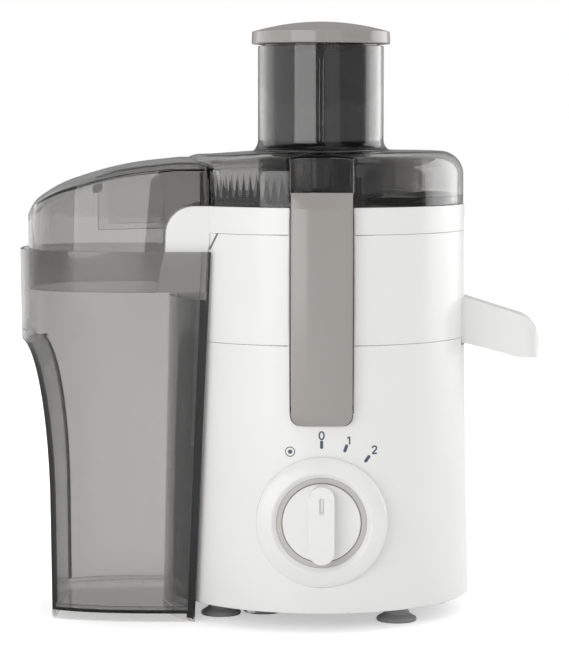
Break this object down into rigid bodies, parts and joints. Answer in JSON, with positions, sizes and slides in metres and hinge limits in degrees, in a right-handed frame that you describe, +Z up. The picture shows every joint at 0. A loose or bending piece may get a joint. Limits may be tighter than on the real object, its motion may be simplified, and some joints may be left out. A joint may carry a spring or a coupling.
{
  "type": "centrifugal juicer",
  "caption": "Countertop centrifugal juicer: drum body with front dial, hooded spout, smoke lid with feed tube and pusher, side clamps and a clear pulp bin.",
  "frame": {"origin": "on the motor axis, in the plane that the feet and the pulp bin stand on", "axes": "+Z up along the motor axis, -Y toward the user and the dial, +X toward the spout"},
  "size_m": [0.2997, 0.2152, 0.34],
  "materials": {
    "white_abs": "moulded gloss ABS",
    "smoke_clear": "smoke-tinted clear SAN",
    "warm_grey_abs": "satin ABS",
    "dial_grey": "satin ring",
    "natural_nylon": "natural nylon",
    "dark_rubber": "moulded rubber",
    "zinc_steel": "zinc-plated steel",
    "stainless": "brushed stainless",
    "lamination_steel": "varnished laminations",
    "copper_wire": "enamelled copper",
    "sintered_bronze": "oil-filled bronze",
    "black_nylon": "glass-filled nylon",
    "carbon": "pressed carbon",
    "circuit_board": "green board"
  },
  "bodies": {
    "base": {"base_housing": "white_abs", "base_plate": "white_abs", "suction_feet": "dark_rubber", "base_screws": "zinc_steel", "cord_gland": "dark_rubber", "motor_stator": "lamination_steel", "field_coils": "copper_wire", "upper_bracket": "zinc_steel", "lower_bracket": "zinc_steel", "upper_bearing": "sintered_bronze", "lower_bearing": "sintered_bronze", "motor_bolts": "zinc_steel", "motor_mounts": "dark_rubber", "mount_screws": "zinc_steel", "brush_holders": "black_nylon", "carbon_brushes": "carbon", "shaft_seal": "dark_rubber", "speed_board": "circuit_board", "rotary_switch": "black_nylon", "dial_ring": "dial_grey", "interlock_switch": "black_nylon", "clamp_pins": "zinc_steel", "interlock_spring": "zinc_steel"},
    "rotor": {"motor_shaft": "zinc_steel", "rotor_core": "lamination_steel", "rotor_windings": "copper_wire", "commutator": "copper_wire", "cooling_fan": "black_nylon", "drive_coupling": "black_nylon"},
    "sieve": {"sieve_hub": "black_nylon", "grater_disc": "stainless", "sieve_mesh": "stainless", "sieve_rim": "white_abs"},
    "collector": {"collector_bowl": "white_abs", "collector_rim": "white_abs"},
    "lid": {"lid": "smoke_clear"},
    "pusher": {"pusher_body": "smoke_clear", "pusher_cap": "warm_grey_abs"},
    "knob": {"control_knob": "white_abs", "knob_spindle": "zinc_steel"},
    "front_clamp": {"clamp_front": "warm_grey_abs"},
    "rear_clamp": {"clamp_back": "warm_grey_abs"},
    "plunger": {"interlock_plunger": "natural_nylon"},
    "bin": {"pulp_bin": "smoke_clear"}
  },
  "joints": [
    {"name": "front_clamp_hinge", "type": "hinge", "parent": "base", "child": "front_clamp", "pos_m": [0, -0.079, 0.1218], "axis": [1, 0, 0], "range_deg": [0, 65]},
    {"name": "rear_clamp_hinge", "type": "hinge", "parent": "base", "child": "rear_clamp", "pos_m": [0, 0.079, 0.1218], "axis": [-1, 0, 0], "range_deg": [0, 65]},
    {"name": "lid_lift", "type": "slide", "parent": "base", "child": "lid", "axis": [0, 0, 1], "range_m": [0, 0.07]},
    {"name": "pusher_lift", "type": "slide", "parent": "lid", "child": "pusher", "axis": [0, 0, 1], "range_m": [0, 0.13]},
    {"name": "collector_lift", "type": "slide", "parent": "base", "child": "collector", "axis": [0, 0, 1], "range_m": [0, 0.03]},
    {"name": "rotor_spin", "type": "hinge", "parent": "base", "child": "rotor", "pos_m": [0, 0, 0.1], "axis": [0, 0, 1], "continuous": true},
    {"name": "sieve_lift", "type": "slide", "parent": "rotor", "child": "sieve", "axis": [0, 0, 1], "range_m": [0, 0.05]},
    {"name": "knob_turn", "type": "hinge", "parent": "base", "child": "knob", "pos_m": [0, -0.087, 0.0617], "axis": [0, 1, 0], "range_deg": [-25, 34]},
    {"name": "bin_slide", "type": "slide", "parent": "base", "child": "bin", "axis": [-1, 0, 0], "range_m": [0, 0.13]},
    {"name": "plunger_slide", "type": "slide", "parent": "base", "child": "plunger", "axis": [0, -1, 0], "range_m": [0, 0.003]}
  ],
  "couplings": [
    {"joint": "rear_clamp_hinge", "follows": "front_clamp_hinge", "ratio": 1},
    {"joint": "lid_lift", "follows": "front_clamp_hinge", "m_per_rad": 0.06169},
    {"joint": "sieve_lift", "follows": "front_clamp_hinge", "m_per_rad": 0.04406},
    {"joint": "collector_lift", "follows": "front_clamp_hinge", "m_per_rad": 0.02643},
    {"joint": "plunger_slide", "follows": "front_clamp_hinge", "m_per_rad": 0.002643}
  ]
}
